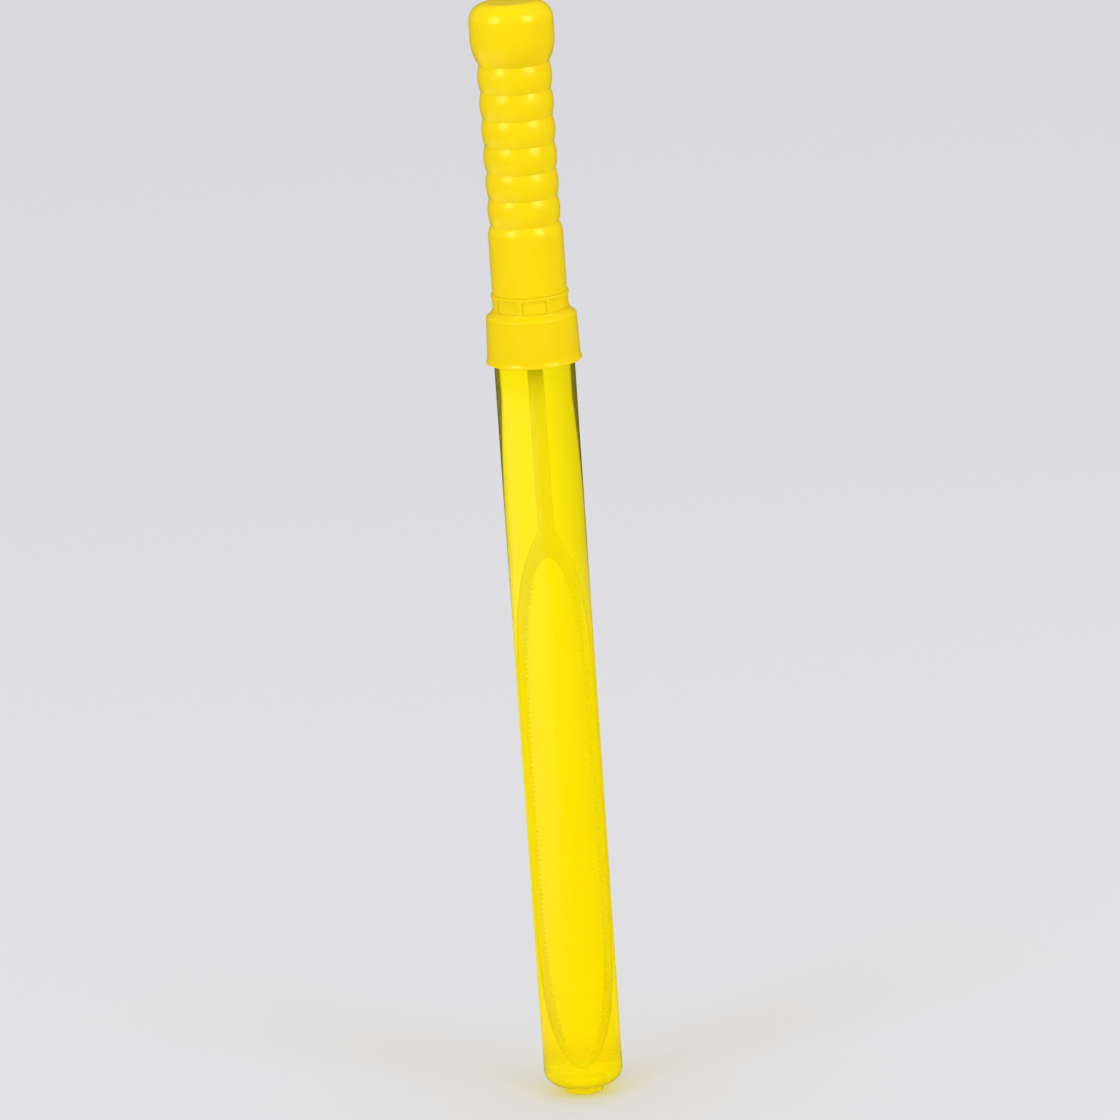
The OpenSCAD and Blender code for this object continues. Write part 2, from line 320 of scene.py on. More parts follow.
def painted_edge_shade(tree, height, colour):
    """Paint shade into a colour where the wall is seen edge on, from SIDES_BELOW up to
    SIDES_FULL.
    """
    facing = add_node(tree, "LayerWeight", {"Blend": 0.5}).outputs["Facing"]
    lower = add_node(tree, "MapRange", {
        "Value": height, "From Min": SIDES_BELOW * mm, "From Max": SIDES_FULL * mm,
        "To Min": SIDES_FADE, "To Max": 0.0,
    })
    grazing = add_node(tree, "Math", {0: facing, 1: lower.outputs["Result"]},
                       operation="SUBTRACT")
    side = add_node(tree, "MapRange", {
        "Value": grazing.outputs["Value"], "From Min": SIDES_FROM, "From Max": SIDES_TO,
    }, interpolation_type="SMOOTHSTEP")
    # Painted shade: the edges go to dark olive.
    edge_shaded = add_node(tree, "Mix", {
        "Factor": side.outputs["Result"], "A": colour, "B": hex_colour("#4C4900"),
    }, data_type="RGBA")
    return edge_shaded.outputs["Result"]


def blown_tube_plastic():
    """Clear yellow plastic: its dye, its haze, its tint by height and its streaks."""
    material, tree = new_material("yellow tinted clear plastic")
    place = add_node(tree, "TexCoord").outputs["Object"]
    height = add_node(tree, "SeparateXYZ", {"Vector": place}).outputs["Z"]
    share = add_node(tree, "MapRange", {"Value": height, "From Max": GRIP_TOP * mm})
    colour = add_node(tree, "ValToRGB", {"Fac": share.outputs["Result"]},
                      stops=[(z / GRIP_TOP, hex_colour(code)) for z, code in TINTS])
    thicker = add_node(tree, "MapRange", {
        "Value": height, "From Min": HAZE_END * mm, "From Max": HAZE_FULL * mm,
    }, interpolation_type="SMOOTHSTEP")
    clearing = add_node(tree, "Math", {
        0: thicker.outputs["Result"], 1: -HAZE_SHARE, 2: CLEARNESS,
    }, operation="MULTIPLY_ADD")
    drawn_out = add_node(tree, "Mapping", {"Vector": place, "Scale": (1, 1, STREAK_STRETCH)})
    streak = add_node(tree, "TexNoise", {
        "Vector": drawn_out.outputs["Vector"], "Scale": per_mm(STREAK_WIDTH), "Detail": 2.0,
    })
    relief = add_node(tree, "Bump", {
        "Height": streak.outputs["Fac"], "Strength": 1.0, "Distance": STREAK_DEPTH * mm,
    })
    body = add_node(tree, "BsdfPrincipled", {
        # The base colour carries the painted shade on the tube's edges.
        "Base Color": painted_edge_shade(tree, height, colour.outputs["Color"]),
        "Transmission Weight": clearing.outputs["Value"], "IOR": 1.5, "Roughness": 0.02,
        "Normal": relief.outputs["Normal"], "Specular Tint": hex_colour("#FFFAC8"),
    })
    depth = add_node(tree, "VolumeAbsorption", {"Color": DYE, "Density": DYE_DENSITY})
    finish_clear(tree, body, "#FFFAA5", depth)
    return material


tube_plastic = blown_tube_plastic()
print("tube:", tube_plastic.name, "with", len(tube_plastic.node_tree.nodes), "nodes")

# %% [markdown]
# ## Bubble solution
#
# Mostly water, so it bends light as water does and has no colour. Where it wets the tube there is
# no bright boundary, so the reflection of its own surface is turned off.

# %% Solution material
bubble_solution, tree = new_material("bubble solution")
water = add_node(tree, "BsdfPrincipled", {
    "Base Color": hex_colour("#FFFFFF"), "Transmission Weight": 1.0, "IOR": 1.34,
    "Roughness": 0.0, "Specular IOR Level": 0.0,
})
finish_clear(tree, water, "#FFFFFF")
print("liquid:", bubble_solution.name)

# %% [markdown]
# ## Foam
#
# The gasket in the cap is a ring die-cut from white closed-cell foam: matt, with fine cells of a
# few tenths of a millimetre. They are drawn a little coarser, or they wouldn't show.

# %% Foam material
CELL_WIDTH, CELL_DEPTH = 0.5, 0.1
white_foam, tree = new_material("white closed-cell foam")
cells = add_node(tree, "TexVoronoi", {
    "Vector": add_node(tree, "TexCoord").outputs["Object"], "Scale": per_mm(CELL_WIDTH),
})
pits = add_node(tree, "Bump", {
    "Height": cells.outputs["Distance"], "Strength": 0.6, "Distance": CELL_DEPTH * mm,
})
foam = add_node(tree, "BsdfPrincipled", {
    "Base Color": hex_colour("#E9E9E4"), "Roughness": 0.85, "Normal": pits.outputs["Normal"],
})
add_node(tree, "OutputMaterial", {"Surface": foam.outputs["BSDF"]})
print("foam:", white_foam.name)

# %% [markdown]
# ## The tube
#
# The wall, the rounded bottom, the small foot with a dish under it, the shoulder and the neck are
# one blown shell. It could be a cylinder with a Solidify modifier, but the neck and the foot have
# walls of their own, so the section follows the outside up and the inside down again.

# %% Tube shell
TUBE_STEPS, OUTER_STEPS, INNER_STEPS = 224, 16, 12
DISH_R, DISH_RIM_R, DISH_H, WELL_STEP = 4.3, 4.9, 0.9, 0.8
DISH_SOFT, DISH_RIM_SOFT, FOOT_SOFT, WAIST_SOFT, WELL_SOFT = 0.5, 0.3, 0.6, 0.5, 0.7
SHOULDER_SOFT, NECK_SOFT, RIM_SOFT = 0.9, 0.5, 0.35
round_r = TUBE_R - BOTTOM_ROUND
tube = turn(half_section(
    (0, DISH_H),
    (DISH_R, DISH_H, DISH_SOFT), (DISH_RIM_R, GROUND, DISH_RIM_SOFT),
    (FOOT_R, GROUND, FOOT_SOFT), (FOOT_R, FOOT_TOP, WAIST_SOFT),
    (round_r, FOOT_TOP), (round_r, FOOT_TOP + BOTTOM_ROUND, 90, OUTER_STEPS),
    (TUBE_R, SHOULDER_Z, SHOULDER_SOFT), (NECK_R, NECK_Z, NECK_SOFT), (NECK_R, RIM_Z, RIM_SOFT),
    (NECK_BORE_R, RIM_Z, RIM_SOFT), (NECK_BORE_R, NECK_Z, NECK_SOFT),
    (BORE_R, SHOULDER_Z, SHOULDER_SOFT), (BORE_R, TUBE_FLOOR + BOTTOM_ROUND - WALL),
    (round_r, TUBE_FLOOR + BOTTOM_ROUND - WALL, -90, INNER_STEPS),
    (FOOT_R - WELL_STEP, TUBE_FLOOR, WELL_SOFT),
    (FOOT_R - 2 * WELL_STEP, FOOT_FLOOR, FOOT_SOFT), (0, FOOT_FLOOR),
), TUBE_STEPS)
finish_piece(tube, "tube_shell", tube_plastic, "bottle", stands_for="tube")

# %% [markdown]
# ## Screw threads
#
# A thread ridge is a small wedge that climbs round the neck. Spin can lift the section as it
# turns, by a rise per step, which makes a helix in one call. The first and last stretch sink into
# the wall, as a real ridge runs out. In the model the cap is drawn straight up, so the ridges of
# neck and cap are kept just clear of each other.

# %% Thread ridges
THREAD_PITCH, THREAD_TURNS, THREAD_STEPS, RUN_OUT = 3.2, 1.75, 84, 10
RIDGE_HALF, CREST_SHARE, SINK_SHARE, ROOT_DEPTH = 0.75, 0.3, 0.98, 0.1
NECK_CREST_R, NECK_THREAD_Z, CAP_CREST_R, CAP_THREAD_Z = 12.9, 256.4, 12.97, 256.2


def thread_ridge(root_r, crest_r, start_z):
    """A wedge that climbs about Z and sinks into its wall at both ends."""
    ridge = bmesh.new()
    crest_half = RIDGE_HALF * CREST_SHARE
    wedge = [point(root_r, start_z - RIDGE_HALF), point(crest_r, start_z - crest_half),
             point(crest_r, start_z + crest_half), point(root_r, start_z + RIDGE_HALF)]
    corners = [bmesh.ops.create_vert(ridge, co=place)["vert"][0] for place in wedge]
    bmesh.ops.contextual_create(ridge, geom=corners)
    rise = THREAD_PITCH * THREAD_TURNS / THREAD_STEPS * mm
    bmesh.ops.spin(
        ridge, geom=ridge.faces[:], cent=(0, 0, 0), axis=(0, 0, 1), dvec=(0, 0, rise),
        angle=2 * pi * THREAD_TURNS, steps=THREAD_STEPS, use_merge=False, use_duplicate=False,
    )
    for index, vertex in enumerate(ridge.verts):
        step = index // len(wedge)
        sink = 1 - min(1, step / RUN_OUT, (THREAD_STEPS - step) / RUN_OUT)
        radius = vertex.co.xy.length
        vertex.co.xy *= 1 + (root_r * mm / radius - 1) * sink * SINK_SHARE
    bmesh.ops.recalc_face_normals(ridge, faces=ridge.faces)
    return ridge


finish_piece(thread_ridge(NECK_R - ROOT_DEPTH, NECK_CREST_R, NECK_THREAD_Z), "neck_thread",
             tube_plastic, "bottle")
finish_piece(thread_ridge(CAP_BORE_R + ROOT_DEPTH, CAP_CREST_R, CAP_THREAD_Z), "cap_thread",
             cap_plastic, "cap_and_wand")

# %% [markdown]
# ## The bubble solution
#
# The liquid fills the tube to just above the shoulder. It overlaps the wall by a few hundredths
# of a millimetre: with an air gap between them the light would be turned back at the edges of the
# tube, and a filled tube would look like an empty one.

# %% Liquid
IN_WALL, LIQUID_TOP, TAPER_DROP, TAPER_IN = 0.05, 252.4, 1.2, 0.6
wet_r, wet_floor, wet_foot = BORE_R + IN_WALL, TUBE_FLOOR - IN_WALL, FOOT_FLOOR - IN_WALL
wet_round = BOTTOM_ROUND - WALL + IN_WALL
liquid = turn(half_section(
    (0, wet_foot), (FOOT_R - 2 * WELL_STEP + IN_WALL, wet_foot, FOOT_SOFT),
    (FOOT_R - WELL_STEP + IN_WALL, wet_floor, WELL_SOFT),
    (round_r, wet_floor), (round_r, wet_floor + wet_round, 90, INNER_STEPS),
    (wet_r, SHOULDER_Z - TAPER_DROP), (BORE_R - TAPER_IN, LIQUID_TOP), (0, LIQUID_TOP),
), TUBE_STEPS)
finish_piece(liquid, "solution", bubble_solution, "bottle")

# %% [markdown]
# ## The wand loop
#
# The wand is one flat moulding: a long loop with small teeth along the inner edge of both sides,
# which hold the liquid, and webs above it that gather into the stem. It could be cut from a plate
# with a boolean, but rings give clean edges: one ring of vertices runs round the loop at the
# inner edge, and is extruded to the next corner of the rail's section until the section closes.
# A number on each vertex says which station of the loop it belongs to.

# %% Wand outline
RAIL_W, WAND_T, RAIL_ROUND, STEM_HALF = 2.2, 2.4, 0.35, 1.85
INNER_HALF_L, WEB_TOP = 87.8, 96.8
TOOTH_PITCH, TOOTH_H, TEETH_END, END_STEPS = 1.7, 0.55, 79.9, 40
LOOP_STRAIGHT, LOOP_CLOSE, WEB_STRAIGHT, WEB_CLOSE = 4.2, 0.556, 4.9, 1.0
END_REACH, TANGENT_REACH = 1e-6, 0.01
INNER_HALF_W, OUTER_HALF_L = OUTER_HALF_W - RAIL_W, INNER_HALF_L + RAIL_W
WAND_Z = LOOP_LOW + OUTER_HALF_L


def closing(t, straight, close):
    """Width of an outline at share t of its length: straight first, then closing to zero."""
    return max(0.0, 1 - abs(t) ** straight) ** close


def inner_edge(z):
    return Vector((INNER_HALF_W * closing(z / INNER_HALF_L, LOOP_STRAIGHT, LOOP_CLOSE), z))


def outer_edge(z):
    if z < 0:
        return Vector((OUTER_HALF_W * closing(z / OUTER_HALF_L, LOOP_STRAIGHT, LOOP_CLOSE), z))
    spread = closing(z / WEB_TOP, WEB_STRAIGHT, WEB_CLOSE)
    return Vector((STEM_HALF + (OUTER_HALF_W - STEM_HALF) * spread, z))


def outward(edge, z, lowest, highest):
    """Unit normal of the right side's edge, away from the loop's middle."""
    if edge(z).x and z > highest - END_REACH:
        return Vector((1, 0))
    above, below = min(z + TANGENT_REACH, highest), max(z - TANGENT_REACH, lowest)
    along = edge(above) - edge(below)
    return Vector((along.y, -along.x)).normalized() if edge(z).x else Vector((0, z)).normalized()


# %% [markdown]
# A station is a height on the inner edge, the height on the outer edge that goes with it, and how
# far a tooth stands out there, from 0 to 1. Four stations draw a tooth. The two ends have
# stations of their own, closer together towards the tips.

# %% Stations up the right side
tooth_count = int(2 * TEETH_END / TOOTH_PITCH)
tooth_shares = ((-1 / 3, 0), (-1 / 8, 1), (1 / 8, 1), (1 / 3, 0))
stations = []
for i in range(END_STEPS, -1, -1):
    near = 1 - (1 - i / END_STEPS) ** 2
    stations.append((-TEETH_END - (INNER_HALF_L - TEETH_END) * near,
                     -TEETH_END - (OUTER_HALF_L - TEETH_END) * near, 0))
for i in range(tooth_count):
    for at, high in tooth_shares:
        z = (i + 0.5 + at - tooth_count / 2) * TOOTH_PITCH
        stations.append((z, z, high))
for i in range(END_STEPS + 1):
    near = 1 - (1 - i / END_STEPS) ** 2
    stations.append((TEETH_END + (INNER_HALF_L - TEETH_END) * near,
                     TEETH_END + (WEB_TOP - TEETH_END) * i / END_STEPS, 0))
print(tooth_count, "teeth a side,", len(stations), "stations a side")

# %% Wand rings
RAIL_MERGE = 2e-7


def corner_arc(edge, side, turns):
    """Rounded corner of the rail's section: (edge, inset from it, depth)."""
    return [(edge, RAIL_ROUND * (1 - cos(a)), side * (WAND_T / 2 - RAIL_ROUND * (1 - sin(a))))
            for a in turns]


rising, falling = (0, pi / 4, pi / 2), (pi / 2, pi / 4, 0)
rail_section = (corner_arc("inner", -1, rising) + corner_arc("outer", -1, falling)
                + corner_arc("outer", 1, rising) + corner_arc("inner", 1, falling))


def rail_place(number, corner):
    """Place of a station's vertex at a corner of the section; the left side mirrors the right."""
    edge, inset, depth = corner
    mirrored = number >= len(stations)
    inner_z, outer_z, tooth = stations[2 * len(stations) - 1 - number if mirrored else number]
    if edge == "inner":
        away = outward(inner_edge, inner_z, -INNER_HALF_L, INNER_HALF_L)
        x, z = inner_edge(inner_z) + away * (inset - tooth * TOOTH_H)
    else:
        x, z = outer_edge(outer_z) - outward(outer_edge, outer_z, -OUTER_HALF_L, WEB_TOP) * inset
    return Vector((-x if mirrored else x, depth, WAND_Z + z)) * mm


wand = bmesh.new()
station = wand.verts.layers.int.new("station")
ring = bmesh.ops.create_circle(wand, segments=2 * len(stations), radius=1)["verts"]
for number, vertex in enumerate(ring):
    vertex[station] = number
    vertex.co = rail_place(number, rail_section[0])
ring_edges = wand.edges[:]
for corner in rail_section[1:] + rail_section[:1]:
    grown = bmesh.ops.extrude_edge_only(wand, edges=ring_edges)["geom"]
    ring = {g for g in grown if isinstance(g, bmesh.types.BMVert)}
    ring_edges = [g for g in grown
                  if isinstance(g, bmesh.types.BMEdge) and ring.issuperset(g.verts)]
    for vertex in ring:
        vertex.co = rail_place(vertex[station], corner)
bmesh.ops.remove_doubles(wand, verts=wand.verts, dist=RAIL_MERGE)
bmesh.ops.recalc_face_normals(wand, faces=wand.faces)
print("the rail's section has", len(rail_section), "corners")

# %% [markdown]
# The flat faces on top of the webs are exactly the stem's section, so the stem is extruded from
# them. Its end is bridged to a circle, which rises as the peg that is pressed into the cap.

# %% Stem and peg
STEM_END, PEG_START, PEG_STEPS, SAME_HEIGHT = 256.6, 257.4, 24, 1e-6
top = (WAND_Z + WEB_TOP) * mm
stem_foot = [f for f in wand.faces if all(abs(v.co.z - top) < SAME_HEIGHT for v in f.verts)]
grown = bmesh.ops.extrude_face_region(wand, geom=stem_foot)["geom"]
risen = [g for g in grown if isinstance(g, bmesh.types.BMVert)]
bmesh.ops.translate(wand, verts=risen, vec=(0, 0, STEM_END * mm - top))
stem_end = [g for g in grown if isinstance(g, bmesh.types.BMFace)]
bmesh.ops.delete(wand, geom=stem_end, context="FACES_KEEP_BOUNDARY")
bmesh.ops.delete(wand, geom=[f for f in stem_foot if f.is_valid], context="FACES")
end_edges = [e for e in wand.edges if e.is_boundary]
circle = bmesh.ops.create_circle(
    wand, segments=PEG_STEPS, radius=PEG_R * mm,
    matrix=Matrix.Translation((0, 0, PEG_START * mm)),
)["verts"]
circle_edges = list({e for v in circle for e in v.link_edges})
bmesh.ops.bridge_loops(wand, edges=end_edges + circle_edges)
grown = bmesh.ops.extrude_edge_only(wand, edges=circle_edges)["geom"]
risen = [g for g in grown if isinstance(g, bmesh.types.BMVert)]
bmesh.ops.translate(wand, verts=risen, vec=(0, 0, (PEG_TOP - PEG_START) * mm))
bmesh.ops.contextual_create(wand, geom=[e for e in wand.edges if e.is_boundary])
bmesh.ops.recalc_face_normals(wand, faces=wand.faces)
finish_piece(wand, "wand_loop", wand_plastic, "cap_and_wand",
             stands_for="bubble_wand", crease=20)

# %% [markdown]
# ## The screw cap
#
# Skirt, flared lip, sloping shoulder, crown ring, inner plate and the socket for the wand are one
# moulding. The eight windows of the crown could be cut by booleans. Here the turned wall already
# has an edge above and below them, so the faces of each window are deleted outside and inside,
# and the two openings are bridged. That leaves clean reveals.

# %% Sizes of the cap
CAP_STEPS, SPAN_STEPS, BAR_STEPS, FIRST_BAR, WALL_REACH = 240, 30, 6, -14, 0.05
SKIRT_WALL, SKIRT_DRAFT, LIP_H, PLATE_T, SLOPE_H, CROWN_LEDGE = 1.25, 0.4, 2.2, 1.6, 1.5, 0.5
LIP_BAND, FLARE_H, FLARE_REST, FLARE_FADE = 0.45, 1.3, 0.1, 0.6
PEG_L, SOCKET_WALL = 7.0, 1.5
SOCKET_SOFT, CEILING_SOFT, EDGE_SOFT = 0.3, 0.4, 0.2
LIP_SOFT, FLARE_SOFT, SLOPE_SOFT = 0.15, 0.5, 0.25
skirt_r = CAP_BORE_R + SKIRT_WALL
skirt_low_r, skirt_z = skirt_r + SKIRT_DRAFT, LIP_Z + LIP_H
ceiling_z = GASKET_TOP + SEAT_GAP
plate_z = ceiling_z + PLATE_T
crown_r, crown_bore_r = BARREL_R + CROWN_LEDGE, SPIGOT_R + PUSH_GAP
peg_z = PEG_TOP - PEG_L
socket_bore_r = PEG_R + PUSH_GAP
socket_r = socket_bore_r + SOCKET_WALL
print("skirt", round(2 * skirt_low_r, 2), "mm wide, crown ring", round(2 * crown_r, 2), "mm")


# %% Places in the windows
def turn_step(place):
    """Steps round from the first bar, for a place in metres."""
    step = degrees(atan2(place.y, place.x)) * CAP_STEPS / 360
    return (step - FIRST_BAR) % CAP_STEPS


def window_faces(shape, radius):
    """Faces of the wall at a radius that lie in a window."""
    found = []
    for face in shape.faces:
        middle = face.calc_center_median()
        at_wall = abs(middle.xy.length / mm - radius) < WALL_REACH
        at_height = WINDOW_Z < middle.z / mm < WINDOW_TOP
        if at_wall and at_height and turn_step(middle) % SPAN_STEPS > BAR_STEPS:
            found.append(face)
    return found


# %% Cap shell
cap = turn(half_section(
    (0, ceiling_z),
    (socket_bore_r, ceiling_z), (socket_bore_r, peg_z), (socket_r, peg_z, SOCKET_SOFT),
    (socket_r, ceiling_z, CEILING_SOFT),
    (CAP_BORE_R, ceiling_z, CEILING_SOFT), (CAP_BORE_R, LIP_Z, EDGE_SOFT),
    (LIP_R, LIP_Z, LIP_SOFT), (LIP_R, LIP_Z + LIP_BAND, EDGE_SOFT),
    (skirt_low_r + FLARE_REST, LIP_Z + FLARE_H, FLARE_SOFT),
    (skirt_low_r, skirt_z + FLARE_FADE, FLARE_SOFT),
    (skirt_r, CROWN_Z - SLOPE_H, SLOPE_SOFT), (crown_r, CROWN_Z, SLOPE_SOFT),
    (crown_r, WINDOW_Z), (crown_r, WINDOW_TOP),
    (crown_r, CROWN_TOP, EDGE_SOFT), (crown_bore_r, CROWN_TOP),
    (crown_bore_r, WINDOW_TOP), (crown_bore_r, WINDOW_Z),
    (crown_bore_r, plate_z), (0, plate_z),
), CAP_STEPS)
glazing = [f for r in (crown_r, crown_bore_r) for f in window_faces(cap, r)]
bmesh.ops.delete(cap, geom=glazing, context="FACES")
reveals = {}
for edge in cap.edges:
    if edge.is_boundary:
        middle = (edge.verts[0].co + edge.verts[1].co) / 2
        past_bar = turn_step(middle) - BAR_STEPS / 2
        reveals.setdefault(past_bar % CAP_STEPS // SPAN_STEPS, []).append(edge)
for window, edges in sorted(reveals.items()):
    bmesh.ops.bridge_loops(cap, edges=edges)
bmesh.ops.recalc_face_normals(cap, faces=cap.faces)
print(len(glazing), "faces out of the crown for", len(reveals), "windows")
finish_piece(cap, "screw_cap_shell", cap_plastic, "cap_and_wand",
             stands_for="screw_cap")

# %% [markdown]
# ## The grip
#
# The grip is hollow and turned in form: a plain barrel, six shallow ribs with soft grooves
# between them, and a rounded pommel that swells out of the last groove. Each rib is one arc. The
# ribs get a little wider towards the pommel. A spigot below holds the grip in the crown ring, and
# its pads, extruded from the spigot's own faces, snap into the windows and stand nearly flush.

# %% Ribs
RIB_COUNT, RIB_PITCH, RIB_RISE, RIB_STEP, RIB_ARC_R, GRIP_TAPER = 6, 8.77, 0.7, 0.13, 14.084, 0.28
BARREL_H, GROOVE_SOFT, RIB_STEPS = 22.7, 0.45, 14
barrel_z = CROWN_TOP + SEAT_GAP
ribs_z = barrel_z + BARREL_H
rib_r = BARREL_R - RIB_STEP
rib_swing = degrees(asin(RIB_PITCH / 2 / RIB_ARC_R))
ribs = []
for i in range(RIB_COUNT):
    crest = rib_r - GRIP_TAPER * (RIB_COUNT - 1 - i) / (RIB_COUNT - 1)
    low = ribs_z + i * RIB_PITCH
    ribs += [(crest - RIB_RISE, low, GROOVE_SOFT),
             (crest - RIB_ARC_R, low + RIB_PITCH / 2, 2 * rib_swing, RIB_STEPS)]
print(RIB_COUNT, "ribs, each an arc of", round(2 * rib_swing, 1), "degrees")

# %% Grip
BARREL_FULL, BARREL_ROUND, BARREL_SOFT, HOLLOW_R = 293.854, 6.3, 0.12, 10.15
POMMEL_FULL, POMMEL_LOW_ROUND, POMMEL_ROUND, POMMEL_WALL = 358.221, 15.5, 6.0, 1.5
POMMEL_HOLLOW_Z, HOLLOW_SOFT, SPIGOT_IN_SOFT, SPIGOT_SOFT = 356.2, 0.6, 0.2, 0.3
POMMEL_IN_STEPS, POMMEL_STEPS, PAD_GAP, PAD_RISE = 12, 24, 0.03, 0.75
pommel_z = ribs_z + RIB_COUNT * RIB_PITCH
groove_r = rib_r - RIB_RISE
shoulder_swing = degrees(acos((groove_r - GRIP_TAPER - BARREL_R + BARREL_ROUND) / BARREL_ROUND))
pommel_swing = degrees(asin((POMMEL_FULL - pommel_z) / POMMEL_LOW_ROUND))
inner_r, inner_top = POMMEL_R - POMMEL_WALL, GRIP_TOP - POMMEL_WALL
pommel_round_r, pommel_round_z = POMMEL_R - POMMEL_ROUND, GRIP_TOP - POMMEL_ROUND

grip = turn(half_section(
    (0, inner_top), (pommel_round_r, inner_top),
    (pommel_round_r, pommel_round_z, -90, POMMEL_IN_STEPS),
    (inner_r, POMMEL_HOLLOW_Z, HOLLOW_SOFT), (HOLLOW_R, POMMEL_HOLLOW_Z, HOLLOW_SOFT),
    (HOLLOW_R, SPIGOT_Z, SPIGOT_IN_SOFT), (SPIGOT_R, SPIGOT_Z, SPIGOT_SOFT),
    (SPIGOT_R, WINDOW_Z), (SPIGOT_R, WINDOW_TOP),
    (SPIGOT_R, barrel_z), (BARREL_R, barrel_z, BARREL_SOFT),
    (BARREL_R, BARREL_FULL), (BARREL_R - BARREL_ROUND, BARREL_FULL, shoulder_swing, RIB_STEPS),
    *ribs,
    (groove_r, pommel_z, GROOVE_SOFT),
    (POMMEL_R - POMMEL_LOW_ROUND, POMMEL_FULL, pommel_swing, RIB_STEPS),
    (POMMEL_R, pommel_round_z), (pommel_round_r, pommel_round_z, 90, POMMEL_STEPS),
    (0, GRIP_TOP),
), CAP_STEPS)
pads = window_faces(grip, SPIGOT_R)
bmesh.ops.inset_region(grip, faces=pads, thickness=PAD_GAP * mm, use_even_offset=True)
grown = bmesh.ops.extrude_face_region(grip, geom=pads)["geom"]
for vertex in {g for g in grown if isinstance(g, bmesh.types.BMVert)}:
    vertex.co.xy *= 1 + PAD_RISE / SPIGOT_R
bmesh.ops.delete(grip, geom=[f for f in pads if f.is_valid], context="FACES")
bmesh.ops.recalc_face_normals(grip, faces=grip.faces)
finish_piece(grip, "ribbed_grip", grip_plastic, "cap_and_wand",
             stands_for="handle")

# %% [markdown]
# ## The gasket
#
# A flat ring between the rim of the neck and the plate of the cap. The die rounds its edges a
# little as it presses them.

# %% Gasket
GASKET_INSET, GASKET_SOFT, GASKET_STEPS = 0.2, 0.25, 96
inside = NECK_BORE_R - GASKET_INSET
gasket = turn(half_section(
    (inside, GASKET_LOW, GASKET_SOFT), (GASKET_R, GASKET_LOW, GASKET_SOFT),
    (GASKET_R, GASKET_TOP, GASKET_SOFT), (inside, GASKET_TOP, GASKET_SOFT),
    (inside, GASKET_LOW),
), GASKET_STEPS)
finish_piece(gasket, "gasket_ring", white_foam, "seal", stands_for="seal_gasket")

# %% [markdown]
# ## Paper floor
#
# The toy stands on a wide sheet of white paper in a light tent. Its material is three things at
# once, and Light Path picks one for each ray. For the camera it is matt paper with a fine tooth,
# which pales a little with distance.

# %% Paper as the camera sees it
PAPER_TOOTH, TOOTH_DEPTH, FAR_GLOW, HALF_GLOW_AT = 3, 0.02, 0.11, 0.5
paper, tree = new_material("white paper floor")
place = add_node(tree, "TexCoord").outputs["Object"]
ground_place = add_node(tree, "SeparateXYZ", {"Vector": place}).outputs
away = add_node(tree, "VectorMath", {0: place}, operation="LENGTH").outputs["Value"]
rays = add_node(tree, "LightPath").outputs
grain = add_node(tree, "TexNoise", {
    "Vector": place, "Scale": per_mm(PAPER_TOOTH), "Detail": 3.0,
})
tooth = add_node(tree, "Bump", {
    "Height": grain.outputs["Fac"], "Strength": 0.3, "Distance": TOOTH_DEPTH * mm,
})
sheet = add_node(tree, "BsdfPrincipled", {
    "Base Color": hex_colour("#D3D3D5"), "Roughness": 0.9, "Specular IOR Level": 0.1,
    "Normal": tooth.outputs["Normal"],
})
lift = add_node(tree, "Math", {0: away, 1: HALF_GLOW_AT}, operation="ADD")
far = add_node(tree, "Math", {0: away, 1: lift.outputs["Value"]}, operation="DIVIDE")
far_glow = add_node(tree, "Math", {0: far.outputs["Value"], 1: FAR_GLOW}, operation="MULTIPLY")
for_camera = add_node(tree, "Math", {0: far_glow.outputs["Value"], 1: rays["Is Camera Ray"]},
                      operation="MULTIPLY")
pale = add_node(tree, "Emission", {
    "Color": hex_colour("#FAFAFF"), "Strength": for_camera.outputs["Value"],
})
lit_sheet = add_node(tree, "AddShader", {0: sheet.outputs["BSDF"], 1: pale.outputs["Emission"]})
print("paper:", paper.name)

# %% [markdown]
# Through the clear tube the paper is a plain white glow. Two clear walls reflect about 8% of what
# passes, so its strength is 1.08, and white paper stays white behind the tube. It is weaker on
# the left. The filled tube is a strong lens that swaps left and right, so that is painted shade
# on the tube's right side, where it shows as a darker yellow.

# %% Paper as the clear tube shows it
THROUGH_GLASS = 1.08
# Glow across the paper; where it is weaker it paints shade on the tube's right side.
PAPER_GLOW = ((-0.62, 0.73), (-0.42, 0.79), (-0.33, 0.84), (-0.155, 0.93), (0.05, 1.0))
span = add_node(tree, "MapRange", {
    "Value": ground_place["X"], "From Min": -1.0, "From Max": 1.0,
})
profile = add_node(tree, "ValToRGB", {"Fac": span.outputs["Result"]},
                   stops=[((x + 1) / 2, (level, level, level, 1)) for x, level in PAPER_GLOW])
glow_strength = add_node(tree, "Math", {0: profile.outputs["Color"], 1: THROUGH_GLASS},
                         operation="MULTIPLY")
glow = add_node(tree, "Emission", {
    "Color": hex_colour("#FFFEFB"), "Strength": glow_strength.outputs["Value"],
})
print("glow through the tube at", len(PAPER_GLOW), "places across the paper")

# %% [markdown]
# In gloss the paper is dim, but for two patches that paint reflections on the tube. One on the
# left paints a lighter reflection on the tube's left edge. The other lies close behind the toy,
# painted yellow for the light that the tube sheds on it, and paints bright reflections on the
# rims of the lower tube. A patch is a product of smooth steps.

# %% Paper as gloss mirrors it
# Strengths and places of the painted reflections on the paper.
IN_GLOSS, LEFT_PATCH, BACK_PATCH = 0.07, 0.6, 0.7
LEFT_X, LEFT_AWAY, LEFT_Y = (0.05, -0.3), (1.11, 1.02), (0.6, 0.2)
BACK_AWAY, BACK_Y = (0.78, 0.55), (0.02, 0.06)


